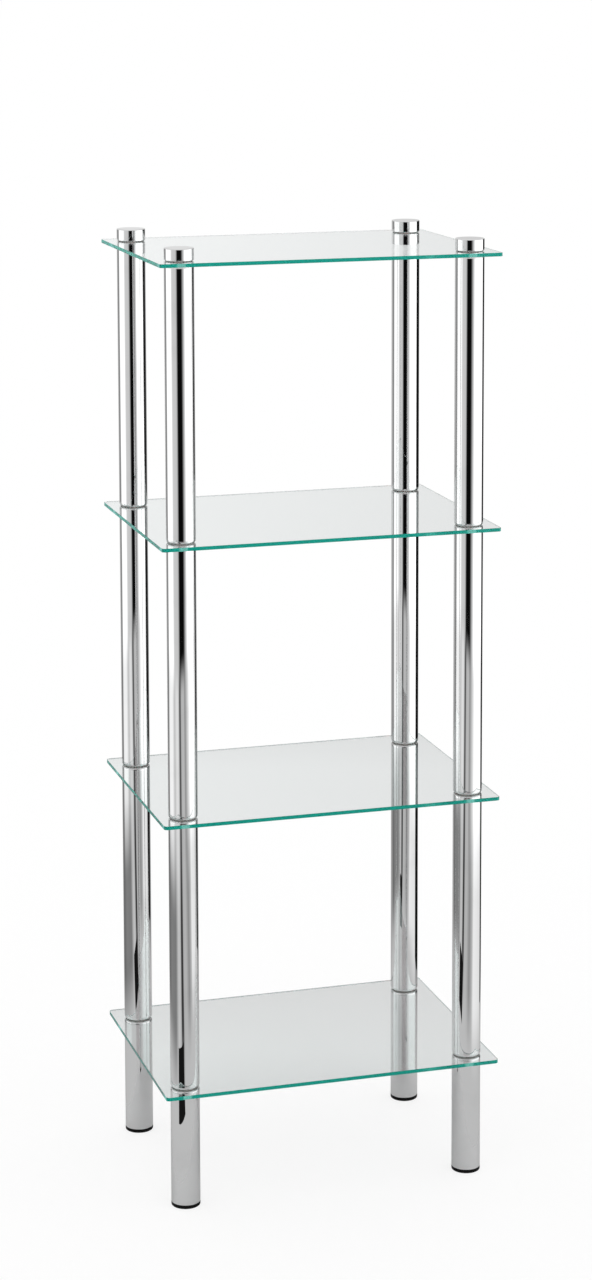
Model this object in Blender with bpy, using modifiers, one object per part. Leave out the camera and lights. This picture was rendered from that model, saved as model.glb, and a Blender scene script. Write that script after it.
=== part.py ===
"""Free-standing bathroom shelving unit: four glass shelves carried on four chromed tube posts.

Each post is a stack of turned pieces on one vertical axis: a foot pressed into a leg, then at every
shelf a soft grommet in the glass and a threaded stud that clamps the tubes above and below it, and
a cap on top. Units are metres, +Z is up, +X runs along the shelves and +Y goes to the back. The
origin is on the floor, in the middle of the unit.
"""

import math

import bpy

# Driving dimensions of the glass
SHELF_COUNT = 4
GLASS_WIDTH = 0.382
GLASS_DEPTH = 0.278
GLASS_THICKNESS = 0.004
GLASS_CORNER_RADIUS = 0.004
HOLE_INSET_X = 0.028
HOLE_INSET_Y = 0.030

# Driving dimensions of the tubes, with the threaded inserts that are pressed into their ends
TUBE_DIAMETER = 0.032
TUBE_WALL = 0.001
TUBE_END_INSET = 0.0013
TUBE_END_ROLL = 0.0024
POST_LENGTH = 0.2971
LEG_LENGTH = 0.1263
INSERT_LENGTH = 0.016

# Driving dimensions of the clamped joint at each hole
STUD_DIAMETER = 0.006
STUD_ENGAGEMENT = 0.012
GROMMET_SLEEVE_WALL = 0.001
GROMMET_FLANGE_THICKNESS = 0.0004

# Driving dimensions of the ends of each post
CAP_HEIGHT = 0.0133
CAP_EDGE_ROUNDING = 0.0008
CAP_BORE_DEPTH = 0.009
FOOT_THICKNESS = 0.0042
FOOT_EDGE_ROUNDING = 0.0012
FOOT_PLUG_LENGTH = 0.012
FOOT_PLUG_WALL = 0.002

# Gap round pieces that slide into each other, and between faces that sit on each other
CLEARANCE = 0.0003
SEAT_CLEARANCE = 0.0001

# Facets round a turned piece and along a rounded edge
TUBE_FACETS = 20
JOINT_FACETS = 12
EDGE_FACETS = 2
CORNER_FACETS = 3
SHARP_ANGLE = math.radians(35)
AXIS_MERGE = 0.00001

# Sizes that follow from the driving dimensions
TUBE_RADIUS = TUBE_DIAMETER / 2
TUBE_BORE_RADIUS = TUBE_RADIUS - TUBE_WALL
TUBE_END_RADIUS = TUBE_RADIUS - TUBE_END_INSET
STUD_RADIUS = STUD_DIAMETER / 2
THREAD_RADIUS = STUD_RADIUS + CLEARANCE
SLEEVE_RADIUS = THREAD_RADIUS + GROMMET_SLEEVE_WALL
HOLE_RADIUS = SLEEVE_RADIUS + CLEARANCE
POST_X = GLASS_WIDTH / 2 - HOLE_INSET_X
POST_Y = GLASS_DEPTH / 2 - HOLE_INSET_Y
FLANGE_STACK = GROMMET_FLANGE_THICKNESS + 2 * SEAT_CLEARANCE
JOINT_HEIGHT = GLASS_THICKNESS + 2 * FLANGE_STACK
LEG_BOTTOM = FOOT_THICKNESS + SEAT_CLEARANCE
FIRST_JOINT = LEG_BOTTOM + LEG_LENGTH
SHELF_PITCH = POST_LENGTH + JOINT_HEIGHT

CORNERS = {
    "front_left": (-1, -1),
    "front_right": (1, -1),
    "back_left": (-1, 1),
    "back_right": (1, 1),
}


def clear_scene():
    for obj in list(bpy.data.objects):
        bpy.data.objects.remove(obj, do_unlink=True)


def principled(name, color, roughness, metallic=0.0, transmission=0.0):
    material = bpy.data.materials.new(name)
    material.use_nodes = True
    material.diffuse_color = (*color, 1.0)
    shader = material.node_tree.nodes["Principled BSDF"]
    shader.inputs["Base Color"].default_value = (*color, 1.0)
    shader.inputs["Roughness"].default_value = roughness
    shader.inputs["Metallic"].default_value = metallic
    shader.inputs["Transmission Weight"].default_value = transmission
    return material


def arc(center, radii, start, end, facets):
    """Points on an arc about a (horizontal, vertical) centre, with its angles in degrees."""
    angles = [math.radians(start + (end - start) * i / facets) for i in range(facets + 1)]
    return [
        (center[0] + radii[0] * math.cos(angle), center[1] + radii[1] * math.sin(angle))
        for angle in angles
    ]


def turned_mesh(name, profile, facets, material):
    """Turns a profile of (radius, height) points about Z. Its outer side runs from top to bottom,
    and a profile that doesn't start on the axis closes on itself, as a ring does."""
    edges = [(i, i + 1) for i in range(len(profile) - 1)]
    if profile[0][0] > 0:
        edges.append((len(profile) - 1, 0))
    outline = bpy.data.meshes.new(name + "_profile")
    outline.from_pydata([(radius, 0, height) for radius, height in profile], edges, [])
    spun = bpy.data.objects.new(name + "_profile", outline)
    bpy.context.scene.collection.objects.link(spun)
    screw = spun.modifiers.new("turn", "SCREW")
    screw.steps = facets
    screw.render_steps = facets
    screw.use_merge_vertices = True
    screw.merge_threshold = AXIS_MERGE
    mesh = bpy.data.meshes.new_from_object(
        spun.evaluated_get(bpy.context.evaluated_depsgraph_get())
    )
    bpy.data.objects.remove(spun)
    bpy.data.meshes.remove(outline)
    mesh.name = name
    mesh.shade_smooth()
    mesh.set_sharp_from_angle(angle=SHARP_ANGLE)
    mesh.materials.clear()
    mesh.materials.append(material)
    return mesh


def rolled_top(length):
    """Outer edge of a tube's upper end, rolled in to the flat that clamps on a grommet."""
    center = (TUBE_END_RADIUS, length - TUBE_END_ROLL)
    return arc(center, (TUBE_END_INSET, TUBE_END_ROLL), 90, 0, EDGE_FACETS)


def rolled_bottom():
    center = (TUBE_END_RADIUS, TUBE_END_ROLL)
    return arc(center, (TUBE_END_INSET, TUBE_END_ROLL), 0, -90, EDGE_FACETS)


def post_mesh(material):
    """A chromed tube with rolled ends and a threaded insert pressed into each of them."""
    profile = rolled_top(POST_LENGTH) + rolled_bottom()
    profile += [
        (THREAD_RADIUS, 0),
        (THREAD_RADIUS, INSERT_LENGTH),
        (TUBE_BORE_RADIUS, INSERT_LENGTH),
        (TUBE_BORE_RADIUS, POST_LENGTH - INSERT_LENGTH),
        (THREAD_RADIUS, POST_LENGTH - INSERT_LENGTH),
        (THREAD_RADIUS, POST_LENGTH),
    ]
    return turned_mesh("post", profile, TUBE_FACETS, material)


def leg_mesh(material):
    """The lowest tube of a post: threaded at the top, cut off square and open at the floor."""
    profile = rolled_top(LEG_LENGTH)
    profile += [
        (TUBE_RADIUS, 0),
        (TUBE_BORE_RADIUS, 0),
        (TUBE_BORE_RADIUS, LEG_LENGTH - INSERT_LENGTH),
        (THREAD_RADIUS, LEG_LENGTH - INSERT_LENGTH),
        (THREAD_RADIUS, LEG_LENGTH),
    ]
    return turned_mesh("leg", profile, TUBE_FACETS, material)


def cap_mesh(material):
    """A turned cap with softened edges and a blind threaded hole in its underside."""
    edge_radius = TUBE_RADIUS - CAP_EDGE_ROUNDING
    top_edge = (edge_radius, CAP_HEIGHT - CAP_EDGE_ROUNDING)
    bottom_edge = (edge_radius, CAP_EDGE_ROUNDING)
    rounding = (CAP_EDGE_ROUNDING, CAP_EDGE_ROUNDING)
    profile = [(0, CAP_HEIGHT)]
    profile += arc(top_edge, rounding, 90, 0, EDGE_FACETS)
    profile += arc(bottom_edge, rounding, 0, -90, EDGE_FACETS)
    profile += [(THREAD_RADIUS, 0), (THREAD_RADIUS, CAP_BORE_DEPTH), (0, CAP_BORE_DEPTH)]
    return turned_mesh("cap", profile, TUBE_FACETS, material)


def foot_mesh(material):
    """A moulded foot: a flange under the leg's end and a hollow plug that holds it in the tube."""
    plug_radius = TUBE_BORE_RADIUS - CLEARANCE
    plug_top = FOOT_THICKNESS + FOOT_PLUG_LENGTH
    floor_edge = (TUBE_RADIUS - FOOT_EDGE_ROUNDING, FOOT_EDGE_ROUNDING)
    profile = [
        (0, FOOT_THICKNESS),
        (plug_radius - FOOT_PLUG_WALL, FOOT_THICKNESS),
        (plug_radius - FOOT_PLUG_WALL, plug_top),
        (plug_radius, plug_top),
        (plug_radius, FOOT_THICKNESS),
        (TUBE_RADIUS, FOOT_THICKNESS),
    ]
    profile += arc(floor_edge, (FOOT_EDGE_ROUNDING, FOOT_EDGE_ROUNDING), 0, -90, EDGE_FACETS)
    profile += [(0, 0)]
    return turned_mesh("foot", profile, TUBE_FACETS, material)


def grommet_mesh(material):
    """A soft sleeve in the glass with a flange on each face, drawn from the glass's underside."""
    low = -SEAT_CLEARANCE
    high = GLASS_THICKNESS + SEAT_CLEARANCE
    profile = [
        (TUBE_END_RADIUS, high + GROMMET_FLANGE_THICKNESS),
        (TUBE_END_RADIUS, high),
        (SLEEVE_RADIUS, high),
        (SLEEVE_RADIUS, low),
        (TUBE_END_RADIUS, low),
        (TUBE_END_RADIUS, low - GROMMET_FLANGE_THICKNESS),
        (THREAD_RADIUS, low - GROMMET_FLANGE_THICKNESS),
        (THREAD_RADIUS, high + GROMMET_FLANGE_THICKNESS),
    ]
    return turned_mesh("grommet", profile, JOINT_FACETS, material)


def stud_mesh(name, length, material):
    profile = [(0, length), (STUD_RADIUS, length), (STUD_RADIUS, 0), (0, 0)]
    return turned_mesh(name, profile, JOINT_FACETS, material)


def add_outline(curve, points):
    spline = curve.splines.new("POLY")
    spline.points.add(len(points) - 1)
    for point, (x, y) in zip(spline.points, points):
        point.co = (x, y, 0, 1)
    spline.use_cyclic_u = True


def shelf_curve(material):
    """The glass as a flat outline with rounded corners and a hole for each post."""
    curve = bpy.data.curves.new("shelf", "CURVE")
    curve.dimensions = "2D"
    curve.fill_mode = "BOTH"
    curve.extrude = GLASS_THICKNESS / 2
    corner_x = GLASS_WIDTH / 2 - GLASS_CORNER_RADIUS
    corner_y = GLASS_DEPTH / 2 - GLASS_CORNER_RADIUS
    rounding = (GLASS_CORNER_RADIUS, GLASS_CORNER_RADIUS)
    outline = []
    for quarter, (side_x, side_y) in enumerate(((1, 1), (-1, 1), (-1, -1), (1, -1))):
        center = (side_x * corner_x, side_y * corner_y)
        turn = 90 * quarter
        outline += arc(center, rounding, turn, turn + 90, CORNER_FACETS)
    add_outline(curve, outline)
    for side_x, side_y in CORNERS.values():
        center = (side_x * POST_X, side_y * POST_Y)
        add_outline(curve, arc(center, (HOLE_RADIUS, HOLE_RADIUS), 0, 360, JOINT_FACETS)[:-1])
    curve.materials.append(material)
    return curve


def place(collection, name, data, parent, height):
    obj = bpy.data.objects.new(name, data)
    obj.parent = parent
    obj.location.z = height
    collection.objects.link(obj)
    return obj


def build_post(collection, corner, axis, meshes):
    """Stacks one post from the floor up, on the empty that marks its axis."""
    place(collection, f"foot_{corner}", meshes["foot"], axis, 0)
    place(collection, f"leg_{corner}", meshes["leg"], axis, LEG_BOTTOM)
    for level in range(SHELF_COUNT):
        joint = FIRST_JOINT + level * SHELF_PITCH
        top = joint + JOINT_HEIGHT
        last = level == SHELF_COUNT - 1
        stud = "cap_stud" if last else "joint_stud"
        tube = "cap" if last else "post"
        tube_name = f"cap_{corner}" if last else f"post_{level + 1}_{corner}"
        place(collection, f"grommet_{level + 1}_{corner}", meshes["grommet"], axis, joint + FLANGE_STACK)
        place(collection, f"stud_{level + 1}_{corner}", meshes[stud], axis, joint - STUD_ENGAGEMENT)
        place(collection, tube_name, meshes[tube], axis, top)


def main():
    clear_scene()
    chrome = principled("chrome_plate", (0.82, 0.83, 0.84), 0.06, metallic=1.0)
    glass = principled("clear_float_glass", (0.82, 0.93, 0.89), 0.02, transmission=1.0)
    rubber = principled("black_soft_plastic", (0.02, 0.02, 0.02), 0.55)
    sleeve = principled("milky_soft_plastic", (0.55, 0.56, 0.54), 0.5)
    steel = principled("zinc_plated_steel", (0.62, 0.63, 0.62), 0.35, metallic=1.0)

    unit = bpy.data.collections.new("bathroom_shelving_unit")
    bpy.context.scene.collection.children.link(unit)
    frame = place(unit, "unit_frame", None, None, 0)

    cap_engagement = CAP_BORE_DEPTH - CLEARANCE
    meshes = {
        "post": post_mesh(chrome),
        "leg": leg_mesh(chrome),
        "cap": cap_mesh(chrome),
        "foot": foot_mesh(rubber),
        "grommet": grommet_mesh(sleeve),
        "joint_stud": stud_mesh("joint_stud", JOINT_HEIGHT + 2 * STUD_ENGAGEMENT, steel),
        "cap_stud": stud_mesh("cap_stud", JOINT_HEIGHT + STUD_ENGAGEMENT + cap_engagement, steel),
    }
    for corner, (side_x, side_y) in CORNERS.items():
        axis = place(unit, f"axis_{corner}", None, frame, 0)
        axis.location.x = side_x * POST_X
        axis.location.y = side_y * POST_Y
        build_post(unit, corner, axis, meshes)

    glass_plate = shelf_curve(glass)
    for level in range(SHELF_COUNT):
        middle = FIRST_JOINT + level * SHELF_PITCH + JOINT_HEIGHT / 2
        place(unit, f"glass_shelf_{level + 1}", glass_plate, frame, middle)


main()
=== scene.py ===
import math

import bmesh
import bpy
from mathutils import Matrix, Vector


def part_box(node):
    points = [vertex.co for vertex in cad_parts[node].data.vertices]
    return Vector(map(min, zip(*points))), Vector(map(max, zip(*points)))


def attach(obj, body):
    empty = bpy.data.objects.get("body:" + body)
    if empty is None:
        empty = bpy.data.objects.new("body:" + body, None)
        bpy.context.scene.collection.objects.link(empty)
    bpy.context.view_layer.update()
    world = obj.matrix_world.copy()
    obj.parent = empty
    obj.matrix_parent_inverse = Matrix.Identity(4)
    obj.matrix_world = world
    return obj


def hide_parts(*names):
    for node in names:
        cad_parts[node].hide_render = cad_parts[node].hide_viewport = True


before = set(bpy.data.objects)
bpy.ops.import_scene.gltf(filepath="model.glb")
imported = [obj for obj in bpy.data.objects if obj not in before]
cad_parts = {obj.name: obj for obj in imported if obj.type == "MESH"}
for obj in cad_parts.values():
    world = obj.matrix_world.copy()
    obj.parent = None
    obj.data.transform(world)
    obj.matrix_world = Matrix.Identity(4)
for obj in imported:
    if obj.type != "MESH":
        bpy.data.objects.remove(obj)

scene = bpy.context.scene
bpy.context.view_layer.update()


# Feet
# Black moulded glides, one under each leg. The flange is as wide as the tube, with a rounded floor edge
# and a shallow hollow underneath, and its plug is pressed into the open end of the leg.
CORNERS = ("front_left", "front_right", "back_left", "back_right")
TURNED_FACETS = 72
ROUNDING_FACETS = 6
SHARP_ANGLE = math.radians(40)
MERGE_DISTANCE = 0.000002


def turned_mesh(name, outline, roundings):
    """Turns an outline of (radius, height) points about the upright axis of a post. roundings gives the
    points that are rounded off and how far. An outline that starts off the axis closes on itself."""
    lathe = bmesh.new()
    points = [lathe.verts.new((radius, 0, height)) for radius, height in outline]
    ends = points[1:] + points[:1] if outline[0][0] > 0 else points[1:]
    for start, end in zip(points, ends):
        lathe.edges.new((start, end))
    for index, rounding in roundings.items():
        bmesh.ops.bevel(
            lathe, geom=[points[index]], affect="VERTICES", offset=rounding,
            segments=ROUNDING_FACETS, profile=0.5, material=-1,
        )
    bmesh.ops.spin(
        lathe, geom=lathe.verts[:] + lathe.edges[:], cent=(0, 0, 0), axis=(0, 0, 1),
        angle=math.tau, steps=TURNED_FACETS, use_merge=True,
    )
    bmesh.ops.remove_doubles(lathe, verts=lathe.verts, dist=MERGE_DISTANCE)
    return finished_mesh(name, lathe)


def finished_mesh(name, shape):
    """Turns the faces outwards and makes a mesh that is smooth except at its sharp edges."""
    bmesh.ops.recalc_face_normals(shape, faces=shape.faces)
    mesh = bpy.data.meshes.new(name)
    shape.to_mesh(mesh)
    shape.free()
    mesh.shade_smooth()
    mesh.set_sharp_from_angle(angle=SHARP_ANGLE)
    return mesh


def fit_piece(name, mesh, finish, node):
    """Stands a copy of a mesh that was made about the origin in the place of its CAD node."""
    low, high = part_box(node)
    middle = (low + high) / 2
    own_mesh = mesh.copy()
    own_mesh.name = name
    own_mesh.transform(Matrix.Translation((middle.x, middle.y, low.z)))
    own_mesh.materials.append(finish)
    piece = bpy.data.objects.new(name, own_mesh)
    scene.collection.objects.link(piece)
    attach(piece, "root")
    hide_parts(node)
    return piece


class Shade:
    """A shader socket that takes Python's operators, each of which adds its Math node."""

    def __init__(self, tree, socket=None):
        self.tree = tree
        self.socket = socket

    def node(self, kind, settings=None, sockets=None, output=0):
        """Adds a node from its type, its settings and its sockets' values or links."""
        made = self.tree.nodes.new(kind)
        for key, value in (settings or {}).items():
            if key == "stops":
                set_stops(made.color_ramp, value)
            else:
                setattr(made, key, value)
        for key, value in (sockets or {}).items():
            if isinstance(value, Shade):
                self.tree.links.new(value.socket, made.inputs[key])
            else:
                made.inputs[key].default_value = value
        return Shade(self.tree, made.outputs[output] if made.outputs else None)

    def maths(self, operation, first, second):
        return self.node("ShaderNodeMath", {"operation": operation}, {0: first, 1: second})

    def __add__(self, other):
        return self.maths("ADD", self, other)

    __radd__ = __add__

    def __sub__(self, other):
        return self.maths("SUBTRACT", self, other)

    def __rsub__(self, other):
        return self.maths("SUBTRACT", other, self)

    def __mul__(self, other):
        return self.maths("MULTIPLY", self, other)

    __rmul__ = __mul__

    def __truediv__(self, other):
        return self.maths("DIVIDE", self, other)


def set_stops(ramp, stops):
    ramp.elements[0].position, ramp.elements[0].color = stops[0]
    ramp.elements[-1].position, ramp.elements[-1].color = stops[-1]
    for place, colour in stops[1:-1]:
        ramp.elements.new(place).color = colour


def grey(level):
    return (level, level, level, 1)


def new_finish(name):
    """An empty material and the Shade that starts its nodes."""
    material = bpy.data.materials.new(name)
    material.use_nodes = True
    material.node_tree.nodes.clear()
    return material, Shade(material.node_tree)


FOOT_FLANGE = 0.0042
FOOT_ROUNDING = 0.0012
FOOT_TOP_ROUNDING = 0.0003
FOOT_HOLLOW_RADIUS = 0.0095
FOOT_HOLLOW_DEPTH = 0.0006
PLUG_RADIUS = 0.0147
PLUG_WALL = 0.002
PLUG_LEAD = 0.0008

foot_low, foot_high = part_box("foot_front_left")
TUBE_RADIUS = (foot_high.x - foot_low.x) / 2
plug_top = foot_high.z - foot_low.z
foot_mesh = turned_mesh(
    "moulded_foot",
    [
        (0, FOOT_FLANGE),
        (PLUG_RADIUS - PLUG_WALL, FOOT_FLANGE),
        (PLUG_RADIUS - PLUG_WALL, plug_top),
        (PLUG_RADIUS, plug_top),
        (PLUG_RADIUS, FOOT_FLANGE),
        (TUBE_RADIUS, FOOT_FLANGE),
        (TUBE_RADIUS, 0),
        (FOOT_HOLLOW_RADIUS, 0),
        (FOOT_HOLLOW_RADIUS - FOOT_HOLLOW_DEPTH, FOOT_HOLLOW_DEPTH),
        (0, FOOT_HOLLOW_DEPTH),
    ],
    {3: PLUG_LEAD, 5: FOOT_TOP_ROUNDING, 6: FOOT_ROUNDING},
)

FOOT_BLACK = (0.004, 0.004, 0.004, 1)
FOOT_SCUFF = (0.016, 0.015, 0.014, 1)
FOOT_SHEEN = 0.1
FOOT_ROUGHNESS = 0.36
FOOT_GRAIN_SCALE = 2600
FOOT_GRAIN_DEPTH = 0.00006
FOOT_GRAIN_BUMP = 0.35
FOOT_GRAIN_ROUGHNESS = 0.12
FOOT_SCUFF_SCALE = 320
FOOT_SCUFF_RANGE = (0.50, 0.66)
FOOT_SCUFF_ROUGHNESS = 0.2

moulded_black, nodes = new_finish("moulded_black")
place = nodes.node("ShaderNodeTexCoord", output="Object")
grain = nodes.node("ShaderNodeTexNoise", None, {"Vector": place, "Scale": FOOT_GRAIN_SCALE, "Detail": 2})
scuffs = nodes.node("ShaderNodeTexNoise", None, {"Vector": place, "Scale": FOOT_SCUFF_SCALE, "Detail": 6})
height = nodes.node("ShaderNodeSeparateXYZ", None, {"Vector": place}, "Z")
near_floor = nodes.node(
    "ShaderNodeMapRange", None,
    {"Value": height, "From Min": 0.0, "From Max": FOOT_ROUNDING, "To Min": 1.0, "To Max": 0.0},
)
worn = nodes.node(
    "ShaderNodeMapRange", None,
    {"Value": scuffs, "From Min": FOOT_SCUFF_RANGE[0], "From Max": FOOT_SCUFF_RANGE[1]},
) * near_floor
colour = nodes.node(
    "ShaderNodeMix", {"data_type": "RGBA"}, {0: worn, 6: FOOT_BLACK, 7: FOOT_SCUFF}, 2,
)
bump = nodes.node(
    "ShaderNodeBump", None, {"Strength": FOOT_GRAIN_BUMP, "Distance": FOOT_GRAIN_DEPTH, "Height": grain},
)
surface = nodes.node(
    "ShaderNodeBsdfPrincipled", None,
    {
        "Base Color": colour, "Specular IOR Level": FOOT_SHEEN, "Normal": bump,
        "Roughness": FOOT_ROUGHNESS + FOOT_GRAIN_ROUGHNESS * grain + FOOT_SCUFF_ROUGHNESS * worn,
    },
)
nodes.node("ShaderNodeOutputMaterial", None, {"Surface": surface})

for corner in CORNERS:
    fit_piece(f"moulded_foot_{corner}", foot_mesh, moulded_black, f"foot_{corner}")


# Legs
# Short chromed steel tubes between the feet and the lowest shelf. The floor end is cut square and
# deburred over the foot's plug; the top is rolled in over a threaded insert that takes the stud.
TUBE_BORE = 0.015
THREAD_RADIUS = 0.0033
ROLL_INSET = 0.0013
ROLL_LENGTH = 0.0024
INSERT_LENGTH = 0.016
DEBURRED = 0.00025
SUPPORT_RING = 0.0006


def rolled_end(end, inwards):
    """Outline of a tube's rolled end, from its flat seat out to the tube's side."""
    steps = [math.radians(90 * step / ROUNDING_FACETS) for step in range(ROUNDING_FACETS + 1)]
    seat = TUBE_RADIUS - ROLL_INSET
    roll = [
        (seat + ROLL_INSET * math.sin(step), end + inwards * ROLL_LENGTH * (1 - math.cos(step)))
        for step in steps
    ]
    side = (TUBE_RADIUS, end + inwards * (ROLL_LENGTH + SUPPORT_RING))
    return [(seat - SUPPORT_RING, end)] + roll + [side]


leg_low, leg_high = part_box("leg_front_left")
leg_length = leg_high.z - leg_low.z
leg_mesh = turned_mesh(
    "chrome_leg",
    rolled_end(leg_length, -1) + [
        (TUBE_RADIUS, DEBURRED + SUPPORT_RING),
        (TUBE_RADIUS, 0),
        (TUBE_BORE, 0),
        (TUBE_BORE, leg_length - INSERT_LENGTH),
        (THREAD_RADIUS, leg_length - INSERT_LENGTH),
        (THREAD_RADIUS, leg_length),
    ],
    {-5: DEBURRED, -4: DEBURRED},
)

CHROME_BRIGHT = (0.742, 0.744, 0.746, 1)
CHROME_SHADE = (0.706, 0.708, 0.710, 1)
CHROME_SHEEN = 0.82
CHROME_ROUGHNESS = 0.012
SMEAR_SCALE = 26
SMEAR_RANGE = (0.52, 0.72)
SMEAR_ROUGHNESS = 0.03
POLISH_SCALE = 900
POLISH_STRETCH = (0.12, 0.12, 1.0)
POLISH_DEPTH = 0.00001
POLISH_BUMP = 0.03
POLISH_ROUGHNESS = 0.012
WAVE_SCALE = 11
WAVE_DEPTH = 0.0004
WAVE_BUMP = 0.10

bright_chrome, nodes = new_finish("bright_chrome")
place = nodes.node("ShaderNodeTexCoord", output="Object")
smears = nodes.node("ShaderNodeTexNoise", None, {"Vector": place, "Scale": SMEAR_SCALE, "Detail": 5})
around = nodes.node("ShaderNodeMapping", None, {"Vector": place, "Scale": POLISH_STRETCH})
polish = nodes.node("ShaderNodeTexNoise", None, {"Vector": around, "Scale": POLISH_SCALE, "Detail": 3})
waves = nodes.node("ShaderNodeTexNoise", None, {"Vector": place, "Scale": WAVE_SCALE, "Detail": 1})
cloud = nodes.node(
    "ShaderNodeMapRange", None,
    {"Value": smears, "From Min": SMEAR_RANGE[0], "From Max": SMEAR_RANGE[1]},
)
colour = nodes.node(
    "ShaderNodeMix", {"data_type": "RGBA"}, {0: cloud, 6: CHROME_BRIGHT, 7: CHROME_SHADE}, 2,
)
bump = nodes.node("ShaderNodeBump", None, {"Strength": WAVE_BUMP, "Distance": WAVE_DEPTH, "Height": waves})
bump = nodes.node(
    "ShaderNodeBump", None,
    {"Strength": POLISH_BUMP, "Distance": POLISH_DEPTH, "Height": polish, "Normal": bump},
)
surface = nodes.node(
    "ShaderNodeBsdfPrincipled", None,
    {
        "Base Color": colour, "Metallic": 1.0, "Specular Tint": grey(CHROME_SHEEN), "Normal": bump,
        "Roughness": CHROME_ROUGHNESS + POLISH_ROUGHNESS * polish + SMEAR_ROUGHNESS * cloud,
    },
)
nodes.node("ShaderNodeOutputMaterial", None, {"Surface": surface})

for corner in CORNERS:
    fit_piece(f"chrome_leg_{corner}", leg_mesh, bright_chrome, f"leg_{corner}")


# Glass shelves
# Four plates of 4 mm float glass with rounded corners and a drilled hole for each post. All edges are
# ground, given a small arris and polished, so light that runs through the plate leaves them sea green.
SHELF_COUNT = 4
GLASS_CORNER = 0.004
GLASS_ARRIS = 0.0001
CORNER_FACETS = 10
HOLE_RADIUS = 0.0046
HOLE_FACETS = 48
HOLE_INSET = Vector((0.028, 0.030))
RIM_ANGLE = math.radians(80)


def points_among(parts):
    """The vertices among the parts that an operator hands back."""
    return [part for part in parts if isinstance(part, bmesh.types.BMVert)]


def is_rim(edge):
    """True for a level edge where a flat face of the plate meets an upright one."""
    start, end = edge.verts
    return edge.calc_face_angle() > RIM_ANGLE and abs(start.co.z - end.co.z) < MERGE_DISTANCE


shelf_low, shelf_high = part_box("glass_shelf_1")
shelf_size = shelf_high - shelf_low
hole_place = shelf_size.xy / 2 - HOLE_INSET
plate = bmesh.new()
bmesh.ops.create_grid(plate, x_segments=1, y_segments=1, size=0.5)
bmesh.ops.scale(plate, vec=(shelf_size.x, shelf_size.y, 1), verts=plate.verts)
bmesh.ops.bevel(
    plate, geom=plate.verts[:], affect="VERTICES", offset=GLASS_CORNER,
    segments=CORNER_FACETS, profile=0.5, material=-1,
)
bmesh.ops.delete(plate, geom=plate.faces[:], context="FACES_ONLY")
for side_x in (-1, 1):
    for side_y in (-1, 1):
        bmesh.ops.create_circle(
            plate, segments=HOLE_FACETS, radius=HOLE_RADIUS,
            matrix=Matrix.Translation((side_x * hole_place.x, side_y * hole_place.y, 0)),
        )
bmesh.ops.triangle_fill(plate, use_beauty=True, edges=plate.edges[:])
raised = bmesh.ops.extrude_face_region(plate, geom=plate.faces[:])["geom"]
bmesh.ops.translate(plate, vec=(0, 0, shelf_size.z), verts=points_among(raised))
bmesh.ops.recalc_face_normals(plate, faces=plate.faces)
bmesh.ops.bevel(
    plate, geom=[edge for edge in plate.edges if is_rim(edge)], affect="EDGES",
    offset=GLASS_ARRIS * math.sqrt(2), offset_type="WIDTH", segments=1, profile=0.5, material=-1,
)
for face in plate.faces:
    middle = face.calc_center_median()
    from_hole = Vector((abs(middle.x), abs(middle.y))) - hole_place
    if from_hole.length < HOLE_RADIUS + GLASS_ARRIS:
        face.material_index = 1
shelf_mesh = finished_mesh("glass_shelf", plate)
shelf_mesh.shade_flat()

GLASS_IOR = 1.52
GREEN_DENSITY = 4.5
GREEN_TINT = (0.1, 0.82, 0.75, 1)
EDGE_GREEN = (0.02, 0.48, 0.40, 1)
# The next colour is painted light: the left and right edges, which face along the plate's length, are
# painted a lighter green than the front and back ones, for more light leaving them.
SIDE_GREEN_PAINTED_LIGHT = (0.02, 0.60, 0.54, 1)
EDGE_ROUGHNESS = 0.25
EDGE_SLOPES = (0.85, 0.95)
CLEAR = (1, 1, 1, 1)
GREEN_SHEEN = (0.25, 0.90, 0.80, 1)

float_glass, nodes = new_finish("float_glass")
facing = nodes.node("ShaderNodeTexCoord", output="Normal")
upright = nodes.node("ShaderNodeSeparateXYZ", None, {"Vector": facing}, "Z")
sideways = nodes.node("ShaderNodeSeparateXYZ", None, {"Vector": facing}, "X")
# Painted light: edges facing along the plate's length are mixed toward the lighter painted green.
edge_green_with_painted_side_light = nodes.node(
    "ShaderNodeMix", {"data_type": "RGBA"}, {0: sideways * sideways, 6: EDGE_GREEN, 7: SIDE_GREEN_PAINTED_LIGHT}, 2,
)
edge = nodes.node(
    "ShaderNodeMapRange", None,
    {
        "Value": upright * upright, "From Min": EDGE_SLOPES[0], "From Max": EDGE_SLOPES[1],
        "To Min": 1.0, "To Max": 0.0,
    },
)
colour = nodes.node(
    "ShaderNodeMix", {"data_type": "RGBA"}, {0: edge, 6: CLEAR, 7: edge_green_with_painted_side_light}, 2,
)
surface = nodes.node(
    "ShaderNodeBsdfPrincipled", None,
    {
        "Base Color": colour, "Roughness": EDGE_ROUGHNESS * edge, "IOR": GLASS_IOR,
        "Transmission Weight": 1.0, "Specular Tint": GREEN_SHEEN,
    },
)
depth = nodes.node("ShaderNodeVolumeAbsorption", None, {"Color": GREEN_TINT, "Density": GREEN_DENSITY})
nodes.node("ShaderNodeOutputMaterial", None, {"Surface": surface, "Volume": depth})

# The drilled holes stay ground and white. A glow stands for the light that they scatter in the plate, which
# shows as a pale spot in the green edge in front of each post.
GROUND_WHITE = (0.80, 0.83, 0.82, 1)
GROUND_ROUGHNESS = 0.7
GLOW_LIGHT = 1.0
GLOW_TONE = (1.0, 0.55, 0.52, 1)
GRIT_SCALE = 2400
GRIT_DEPTH = 0.00008
GRIT_BUMP = 0.4
GRIT_ROUGHNESS = 0.3

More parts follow.
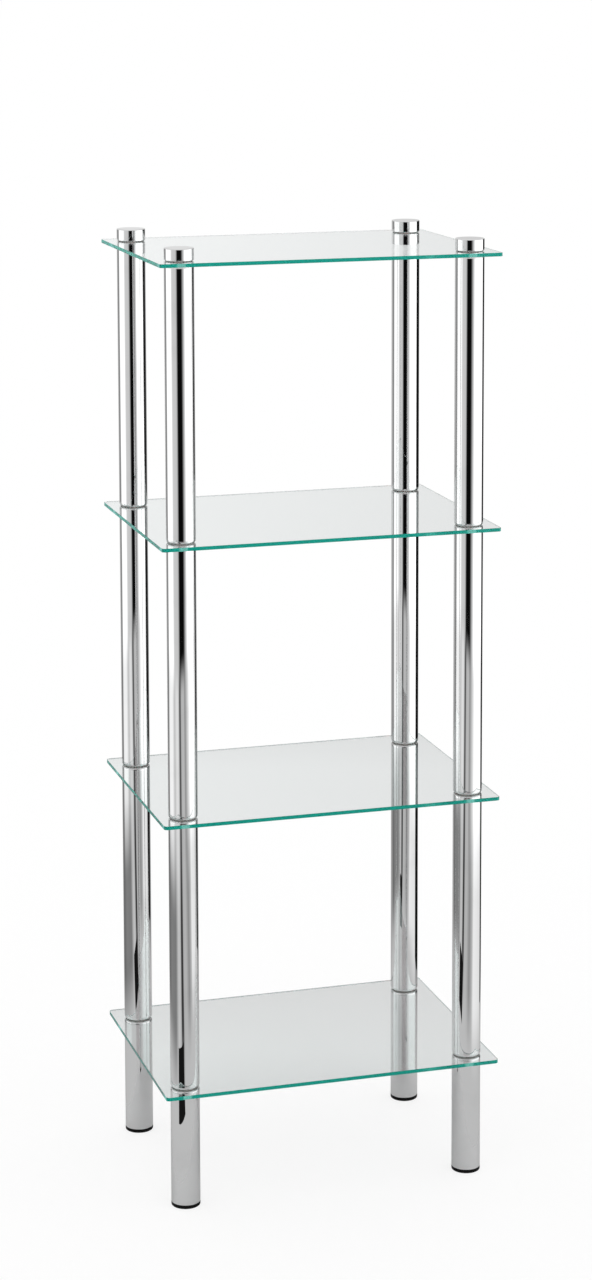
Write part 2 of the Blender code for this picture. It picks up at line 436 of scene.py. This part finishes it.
ground_glass, nodes = new_finish("ground_glass")
place = nodes.node("ShaderNodeTexCoord", output="Object")
grit = nodes.node("ShaderNodeTexNoise", None, {"Vector": place, "Scale": GRIT_SCALE, "Detail": 3})
bump = nodes.node("ShaderNodeBump", None, {"Strength": GRIT_BUMP, "Distance": GRIT_DEPTH, "Height": grit})
surface = nodes.node(
    "ShaderNodeBsdfPrincipled", None,
    {
        "Base Color": GROUND_WHITE, "Roughness": GROUND_ROUGHNESS + GRIT_ROUGHNESS * grit, "Normal": bump,
        "Emission Color": GLOW_TONE, "Emission Strength": GLOW_LIGHT,
    },
)
nodes.node("ShaderNodeOutputMaterial", None, {"Surface": surface})

for level in range(1, SHELF_COUNT + 1):
    shelf = fit_piece(f"clear_shelf_{level}", shelf_mesh, float_glass, f"glass_shelf_{level}")
    shelf.data.materials.append(ground_glass)


# Grommets
# Soft milky plastic sleeves in the glass holes, with a thin flange on each face of the plate, so that
# the tubes and studs never touch the glass. Only the rim of a flange shows, as a grey line at each joint.
FLANGE_THICKNESS = 0.0004
SLEEVE_RADIUS = 0.0043
FLANGE_ROUNDING = 0.00015

grommet_low, grommet_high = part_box("grommet_1_front_left")
grommet_height = grommet_high.z - grommet_low.z
flange_radius = (grommet_high.x - grommet_low.x) / 2
grommet_mesh = turned_mesh(
    "soft_grommet",
    [
        (flange_radius, grommet_height),
        (flange_radius, grommet_height - FLANGE_THICKNESS),
        (SLEEVE_RADIUS, grommet_height - FLANGE_THICKNESS),
        (SLEEVE_RADIUS, FLANGE_THICKNESS),
        (flange_radius, FLANGE_THICKNESS),
        (flange_radius, 0),
        (THREAD_RADIUS, 0),
        (THREAD_RADIUS, grommet_height),
    ],
    {0: FLANGE_ROUNDING, 1: FLANGE_ROUNDING, 4: FLANGE_ROUNDING, 5: FLANGE_ROUNDING},
)

MILKY_PALE = (0.60, 0.61, 0.59, 1)
MILKY_DULL = (0.48, 0.48, 0.46, 1)
MILKY_ROUGHNESS = 0.5
BLOOM_SCALE = 260
BLOOM_ROUGHNESS = 0.2
SKIN_SCALE = 3200
SKIN_DEPTH = 0.00004
SKIN_BUMP = 0.3

milky_plastic, nodes = new_finish("milky_plastic")
place = nodes.node("ShaderNodeTexCoord", output="Object")
bloom = nodes.node("ShaderNodeTexNoise", None, {"Vector": place, "Scale": BLOOM_SCALE, "Detail": 5})
skin = nodes.node("ShaderNodeTexNoise", None, {"Vector": place, "Scale": SKIN_SCALE, "Detail": 2})
colour = nodes.node(
    "ShaderNodeMix", {"data_type": "RGBA"}, {0: bloom, 6: MILKY_PALE, 7: MILKY_DULL}, 2,
)
bump = nodes.node("ShaderNodeBump", None, {"Strength": SKIN_BUMP, "Distance": SKIN_DEPTH, "Height": skin})
surface = nodes.node(
    "ShaderNodeBsdfPrincipled", None,
    {"Base Color": colour, "Roughness": MILKY_ROUGHNESS + BLOOM_ROUGHNESS * bloom, "Normal": bump},
)
nodes.node("ShaderNodeOutputMaterial", None, {"Surface": surface})

for level in range(1, SHELF_COUNT + 1):
    for corner in CORNERS:
        fit_piece(
            f"soft_grommet_{level}_{corner}", grommet_mesh, milky_plastic,
            f"grommet_{level}_{corner}",
        )


# Studs
# Zinc plated threaded rods, 6 mm across, that pass through the grommets and draw the tube above and the
# tube below together on the glass. The thread is rolled, with flats on its crests and roots.
THREAD_PITCH = 0.001
THREAD_DEPTH = 0.00055
THREAD_FACETS = 24
THREAD_SHARES = ((0, 0.0), (0, 0.14), (1, 0.50), (1, 0.64), (0, 1.0))


def threaded_mesh(name, radius, length):
    """Winds one turn's outline up the rod, then cuts the ends square and closes them."""
    rod = bmesh.new()
    root = radius - THREAD_DEPTH
    points = [
        rod.verts.new((radius if crest else root, 0, THREAD_PITCH * (share - 1)))
        for crest, share in THREAD_SHARES
    ]
    for start, end in zip(points, points[1:]):
        rod.edges.new((start, end))
    turns = math.ceil(length / THREAD_PITCH) + 2
    bmesh.ops.spin(
        rod, geom=rod.verts[:] + rod.edges[:], cent=(0, 0, 0), axis=(0, 0, 1),
        dvec=(0, 0, THREAD_PITCH / THREAD_FACETS), angle=math.tau * turns, steps=THREAD_FACETS * turns,
    )
    bmesh.ops.remove_doubles(rod, verts=rod.verts, dist=MERGE_DISTANCE)
    bmesh.ops.translate(rod, vec=(0, 0, -THREAD_PITCH), verts=rod.verts)
    for cut, way in ((0, -1), (length, 1)):
        bmesh.ops.bisect_plane(
            rod, geom=rod.verts[:] + rod.edges[:] + rod.faces[:], plane_co=(0, 0, cut),
            plane_no=(0, 0, way), clear_outer=True,
        )
    bmesh.ops.holes_fill(rod, edges=rod.edges[:])
    return finished_mesh(name, rod)


ZINC_PALE = (0.62, 0.62, 0.60, 1)
ZINC_DULL = (0.46, 0.46, 0.43, 1)
ZINC_ROUGHNESS = 0.25
SPANGLE_SCALE = 700
SPANGLE_ROUGHNESS = 0.25

zinc_plate, nodes = new_finish("zinc_plate")
place = nodes.node("ShaderNodeTexCoord", output="Object")
spangle = nodes.node("ShaderNodeTexNoise", None, {"Vector": place, "Scale": SPANGLE_SCALE, "Detail": 4})
colour = nodes.node(
    "ShaderNodeMix", {"data_type": "RGBA"}, {0: spangle, 6: ZINC_PALE, 7: ZINC_DULL}, 2,
)
surface = nodes.node(
    "ShaderNodeBsdfPrincipled", None,
    {
        "Base Color": colour, "Metallic": 1.0,
        "Roughness": ZINC_ROUGHNESS + SPANGLE_ROUGHNESS * spangle,
    },
)
nodes.node("ShaderNodeOutputMaterial", None, {"Surface": surface})

for level in range(1, SHELF_COUNT + 1):
    stud_low, stud_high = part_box(f"stud_{level}_front_left")
    stud_mesh = threaded_mesh("threaded_stud", (stud_high.x - stud_low.x) / 2, stud_high.z - stud_low.z)
    for corner in CORNERS:
        fit_piece(
            f"threaded_stud_{level}_{corner}", stud_mesh, zinc_plate, f"stud_{level}_{corner}",
        )


# Posts
# Chromed steel tubes between the shelves, in the same tube and plating as the legs, with both ends
# rolled in over threaded inserts. Each is screwed down on the stud that stands up through the glass.
post_low, post_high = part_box("post_1_front_left")
post_length = post_high.z - post_low.z
post_mesh = turned_mesh(
    "chrome_post",
    rolled_end(post_length, -1) + rolled_end(0, 1)[::-1] + [
        (THREAD_RADIUS, 0),
        (THREAD_RADIUS, INSERT_LENGTH),
        (TUBE_BORE, INSERT_LENGTH),
        (TUBE_BORE, post_length - INSERT_LENGTH),
        (THREAD_RADIUS, post_length - INSERT_LENGTH),
        (THREAD_RADIUS, post_length),
    ],
    {},
)
for level in range(1, SHELF_COUNT):
    for corner in CORNERS:
        fit_piece(
            f"chrome_post_{level}_{corner}", post_mesh, bright_chrome, f"post_{level}_{corner}",
        )


# Caps
# Turned and chromed caps that close each post on the top shelf. The edges are softened on the lathe,
# and a blind threaded hole in the underside takes the last stud.
CAP_ROUNDING = 0.0008
CAP_BORE_DEPTH = 0.009

cap_low, cap_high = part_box("cap_front_left")
cap_height = cap_high.z - cap_low.z
cap_mesh = turned_mesh(
    "chrome_cap",
    [
        (0, cap_height),
        (TUBE_RADIUS - CAP_ROUNDING - SUPPORT_RING, cap_height),
        (TUBE_RADIUS, cap_height),
        (TUBE_RADIUS, cap_height - CAP_ROUNDING - SUPPORT_RING),
        (TUBE_RADIUS, CAP_ROUNDING + SUPPORT_RING),
        (TUBE_RADIUS, 0),
        (TUBE_RADIUS - CAP_ROUNDING - SUPPORT_RING, 0),
        (THREAD_RADIUS, 0),
        (THREAD_RADIUS, CAP_BORE_DEPTH),
        (0, CAP_BORE_DEPTH),
    ],
    {2: CAP_ROUNDING, 5: CAP_ROUNDING},
)

TURNED_ROUGHNESS = 0.01
RING_SCALE = 2500
RING_DEPTH = 0.00001
RING_BUMP = 0.05
RING_ROUGHNESS = 0.02
FINGER_SCALE = 140
FINGER_ROUGHNESS = 0.02

turned_chrome, nodes = new_finish("turned_chrome")
place = nodes.node("ShaderNodeTexCoord", output="Object")
mirrored_place = nodes.node("ShaderNodeVectorMath", {"operation": "ABSOLUTE"}, {0: place})
cap_middle = (cap_low + cap_high) / 2
from_middle = nodes.node(
    "ShaderNodeVectorMath", {"operation": "SUBTRACT"},
    {0: mirrored_place, 1: (abs(cap_middle.x), abs(cap_middle.y), 0)},
)
across = nodes.node("ShaderNodeSeparateXYZ", None, {"Vector": from_middle}, "X")
along = nodes.node("ShaderNodeSeparateXYZ", None, {"Vector": from_middle}, "Y")
radius = nodes.node("ShaderNodeMath", {"operation": "SQRT"}, {0: across * across + along * along})
rings = nodes.node(
    "ShaderNodeTexNoise", {"noise_dimensions": "1D"}, {"W": radius, "Scale": RING_SCALE, "Detail": 2},
)
fingers = nodes.node("ShaderNodeTexNoise", None, {"Vector": place, "Scale": FINGER_SCALE, "Detail": 5})
cloud = nodes.node(
    "ShaderNodeMapRange", None,
    {"Value": fingers, "From Min": SMEAR_RANGE[0], "From Max": SMEAR_RANGE[1]},
)
colour = nodes.node(
    "ShaderNodeMix", {"data_type": "RGBA"}, {0: cloud, 6: CHROME_BRIGHT, 7: CHROME_SHADE}, 2,
)
bump = nodes.node("ShaderNodeBump", None, {"Strength": RING_BUMP, "Distance": RING_DEPTH, "Height": rings})
surface = nodes.node(
    "ShaderNodeBsdfPrincipled", None,
    {
        "Base Color": colour, "Metallic": 1.0, "Specular Tint": grey(CHROME_SHEEN), "Normal": bump,
        "Roughness": TURNED_ROUGHNESS + RING_ROUGHNESS * rings + FINGER_ROUGHNESS * cloud,
    },
)
nodes.node("ShaderNodeOutputMaterial", None, {"Surface": surface})

for corner in CORNERS:
    fit_piece(f"chrome_cap_{corner}", cap_mesh, turned_chrome, f"cap_{corner}")


# Camera
# A long lens at the photograph's place, to the left of the unit and a little above its top shelf. The
# picture is shifted down, as the photograph's is, so that the posts stay nearly upright in it.
CAMERA_LENS = 83.311
CAMERA_SENSOR = 36
CAMERA_SHIFT = -0.26
CAMERA_REACH = 500
CAMERA_PLACE = (-0.9291, -3.1246, 1.3798)
CAMERA_TILT = math.radians(82.894)
CAMERA_ROLL = math.radians(0.151)
CAMERA_TURN = math.radians(-16.549)

camera_data = bpy.data.cameras.new("camera")
camera_data.lens = CAMERA_LENS
camera_data.sensor_width = CAMERA_SENSOR
camera_data.shift_y = CAMERA_SHIFT
camera_data.clip_end = CAMERA_REACH
camera = bpy.data.objects.new("camera", camera_data)
camera.location = CAMERA_PLACE
camera.rotation_euler = (CAMERA_TILT, CAMERA_ROLL, CAMERA_TURN)
scene.collection.objects.link(camera)
scene.camera = camera
scene.view_settings.view_transform = "Standard"


# Studio floor
# A wide pale floor. The camera sees it lifted to white, with the unit's own soft shadow kept, and metal
# and glass see its plain pale colour.
FLOOR_RADIUS = 60
FLOOR_FACETS = 64
FLOOR_PALE = 0.75
FLOOR_SHADED = 0.22

floor_shape = bmesh.new()
bmesh.ops.create_circle(floor_shape, cap_ends=True, segments=FLOOR_FACETS, radius=FLOOR_RADIUS)
floor_mesh = finished_mesh("studio_floor", floor_shape)
floor = bpy.data.objects.new("studio_floor", floor_mesh)
scene.collection.objects.link(floor)

pale_floor, nodes = new_finish("pale_floor")
seen = nodes.node("ShaderNodeLightPath", output="Is Camera Ray")
tone = nodes.node(
    "ShaderNodeMix", {"data_type": "RGBA"}, {0: seen, 6: grey(FLOOR_PALE), 7: grey(FLOOR_SHADED)}, 2,
)
matt = nodes.node("ShaderNodeBsdfDiffuse", None, {"Color": tone})
lift = nodes.node("ShaderNodeEmission", None, {"Color": grey(1), "Strength": (1 - FLOOR_SHADED) * seen})
surface = nodes.node("ShaderNodeAddShader", None, {0: matt, 1: lift})
nodes.node("ShaderNodeOutputMaterial", None, {"Surface": surface})
floor_mesh.materials.append(pale_floor)


# Studio light
# An even white sky, and round the unit a dish of soft white panels with dark gaps between them, a dark
# louvre at the back and a dark mat at the front, which only the polished surfaces see. Angles count from
# the camera to its right.
DISH_RADIUS = 2.7
DISH_HEIGHT = 5.0
DISH_START = 0.28
DISH_LIFT = 0.001
NEAR_LIGHT = 0.66
NEAR_TO_MID = (0.45, 0.75)
MID_LIGHT = (
    (-180, 0.6), (-146, 0.5), (-128, 0.18), (-94, 0.28), (-58, 0.25), (-40, 0.72), (-28, 0.65),
    (-22, 0.05), (-13, 0.05), (-8, 0.58), (8, 0.6), (28, 0.34), (46, 0.6), (56, 1.1), (112, 1.0),
    (122, 0.2), (158, 0.2), (170, 0.6), (180, 0.6),
)
MID_TO_FAR = (1.1, 1.65)
FAR_LIGHT = (
    (-180, 0.62), (-140, 0.62), (-134, 0.25), (-118, 0.25), (-106, 1.2), (-76, 1.2), (-58, 0.68),
    (-46, 0.95), (-34, 1.0), (-26, 0.7), (-21, 0.1), (-14, 0.12), (-8, 0.6), (8, 0.65), (18, 0.36),
    (30, 0.65), (46, 1.1), (56, 1.6), (112, 1.5), (122, 0.15), (158, 0.15), (170, 0.62), (180, 0.62),
)
FAR_TO_WALL = (2.35, DISH_RADIUS)
WALL_LIGHT = (
    (-180, 0.64), (-140, 0.66), (-134, 0.3), (-118, 0.3), (-106, 1.5), (-66, 1.5), (-54, 0.8),
    (-26, 0.74), (-20, 0.4), (-15, 0.004), (14, 0.004), (21, 0.25), (28, 0.6), (36, 1.0), (44, 1.6),
    (54, 1.8), (112, 1.8), (122, 0.15), (158, 0.15), (170, 0.64), (180, 0.64),
)
BACK_LIGHT = (
    (-180, 0.92), (-172, 1.0), (-130, 1.0), (-116, 0), (116, 0), (130, 0.84), (172, 0.84), (180, 0.92),
)
BACK_HEIGHTS = (1.05, 1.2)
FRONT_SHARE = ((-180, 0), (-168, 0), (-158, 1), (158, 1), (168, 0), (180, 0))
FRONT_LIGHT = 0.86
FRONT_HEIGHTS = (0.88, 1.0)
LOUVRE_ENDS = ((0.62, 0.26), (0.31, 0.63))
LOUVRE_SLATS = 460
SLAT_GAP = 0.0024
SLAT_REACH = (0.0055, 0.0046, 0.0019)
DARK_LIGHT = 0.01
MAT_REACH = (0.44, 0.68)
MAT_TURNS = (-44, -14)

world = bpy.data.worlds.new("white_sky")
scene.world = world
world.use_nodes = True
world.node_tree.nodes.clear()
nodes = Shade(world.node_tree)
sky = nodes.node("ShaderNodeBackground", None, {"Color": grey(1), "Strength": 1.0})
nodes.node("ShaderNodeOutputWorld", None, {"Surface": sky})

dish_shape = bmesh.new()
slat_ends = [dish_shape.verts.new((*spot, DISH_LIFT)) for spot in LOUVRE_ENDS]
slat_edge = dish_shape.edges.new(slat_ends)
slat_faces = bmesh.ops.extrude_edge_only(dish_shape, edges=[slat_edge])["geom"]
bmesh.ops.translate(dish_shape, vec=SLAT_REACH, verts=points_among(slat_faces))
bmesh.ops.spin(
    dish_shape, geom=dish_shape.verts[:] + dish_shape.edges[:] + dish_shape.faces[:], cent=(0, 0, 0),
    axis=(0, 0, 1), dvec=(0, 0, SLAT_GAP), angle=0, steps=LOUVRE_SLATS, use_duplicate=True,
)
mat_ends = [dish_shape.verts.new((0, -reach, 2 * DISH_LIFT)) for reach in MAT_REACH]
mat_edge = dish_shape.edges.new(mat_ends)
bmesh.ops.rotate(
    dish_shape, verts=mat_ends, cent=(0, 0, 0), matrix=Matrix.Rotation(math.radians(MAT_TURNS[0]), 3, "Z"),
)
bmesh.ops.spin(
    dish_shape, geom=mat_ends + [mat_edge], cent=(0, 0, 0), axis=(0, 0, 1),
    angle=math.radians(MAT_TURNS[1] - MAT_TURNS[0]), steps=ROUNDING_FACETS,
)
for face in dish_shape.faces:
    face.material_index = 1
dish_points = [
    dish_shape.verts.new((radius, 0, height))
    for radius, height in ((DISH_START, DISH_LIFT), (DISH_RADIUS, DISH_LIFT), (DISH_RADIUS, DISH_HEIGHT))
]
dish_edges = [dish_shape.edges.new(ends) for ends in zip(dish_points, dish_points[1:])]
bmesh.ops.spin(
    dish_shape, geom=dish_points + dish_edges, cent=(0, 0, 0), axis=(0, 0, 1),
    angle=math.tau, steps=TURNED_FACETS, use_merge=True,
)
dish_mesh = finished_mesh("light_dish", dish_shape)
dish = bpy.data.objects.new("light_dish", dish_mesh)
dish.rotation_euler.z = CAMERA_TURN
scene.collection.objects.link(dish)
dish.visible_camera = False
dish.visible_diffuse = False
dish.visible_shadow = False

panels, nodes = new_finish("soft_panels")
place = nodes.node("ShaderNodeTexCoord", output="Object")
along = nodes.node("ShaderNodeSeparateXYZ", None, {"Vector": place}, "X")
toward = nodes.node("ShaderNodeSeparateXYZ", None, {"Vector": place}, "Y")
height = nodes.node("ShaderNodeSeparateXYZ", None, {"Vector": place}, "Z")
turn = nodes.node("ShaderNodeMath", {"operation": "ARCTAN2"}, {0: along, 1: 0 - toward}) / math.tau + 0.5
away = nodes.node("ShaderNodeMath", {"operation": "SQRT"}, {0: along * along + toward * toward})


def panel_light(levels):
    """Light levels round the dish, from pairs of an angle and a level."""
    stops = [(angle / 360 + 0.5, grey(level)) for angle, level in levels]
    return nodes.node("ShaderNodeValToRGB", {"stops": stops}, {"Fac": turn})


def share_between(value, ends, easing="LINEAR"):
    """Rises from 0 to 1 while the value goes from the first of the ends to the second."""
    return nodes.node(
        "ShaderNodeMapRange", {"interpolation_type": easing},
        {"Value": value, "From Min": ends[0], "From Max": ends[1]},
    )


def blend_at(value, ends, before, after):
    share = share_between(value, ends, "SMOOTHSTEP")
    return nodes.node("ShaderNodeMix", {"data_type": "RGBA"}, {0: share, 6: before, 7: after}, 2)


wall_light = panel_light(WALL_LIGHT)
light = blend_at(away, NEAR_TO_MID, grey(NEAR_LIGHT), panel_light(MID_LIGHT))
light = blend_at(away, MID_TO_FAR, light, panel_light(FAR_LIGHT))
light = blend_at(away, FAR_TO_WALL, light, wall_light)
light = blend_at(height, (DISH_LIFT, 2 * DISH_LIFT), light, wall_light)
light = nodes.node(
    "ShaderNodeMix", {"data_type": "RGBA", "blend_type": "LIGHTEN"},
    {0: share_between(height, BACK_HEIGHTS), 6: light, 7: panel_light(BACK_LIGHT)}, 2,
)
above = share_between(height, FRONT_HEIGHTS)
mirrored = nodes.node("ShaderNodeLightPath", output="Glossy Depth")
once = 1 - share_between(mirrored, (1, 2))
light = nodes.node(
    "ShaderNodeMix", {"data_type": "RGBA"},
    {0: above * once * panel_light(FRONT_SHARE), 6: light, 7: grey(FRONT_LIGHT)}, 2,
)


def show_mirrored(nodes, light):
    """Ends a material that shines only on rays that a surface has mirrored."""
    glow = nodes.node("ShaderNodeEmission", None, {"Color": light, "Strength": 1.0})
    open_air = nodes.node("ShaderNodeBsdfTransparent")
    mirrored = nodes.node("ShaderNodeLightPath", output="Glossy Depth")
    surface = nodes.node("ShaderNodeMixShader", None, {0: mirrored, 1: open_air, 2: glow})
    nodes.node("ShaderNodeOutputMaterial", None, {"Surface": surface})


show_mirrored(nodes, light)
dish_mesh.materials.append(panels)
dark_cloth, nodes = new_finish("dark_cloth")
show_mirrored(nodes, grey(DARK_LIGHT))
dish_mesh.materials.append(dark_cloth)

# Light that runs the length of a glass plate is reflected inside it many times.
GLASS_BOUNCES = 32
scene.cycles.max_bounces = GLASS_BOUNCES
scene.cycles.glossy_bounces = GLASS_BOUNCES
scene.cycles.transmission_bounces = GLASS_BOUNCES
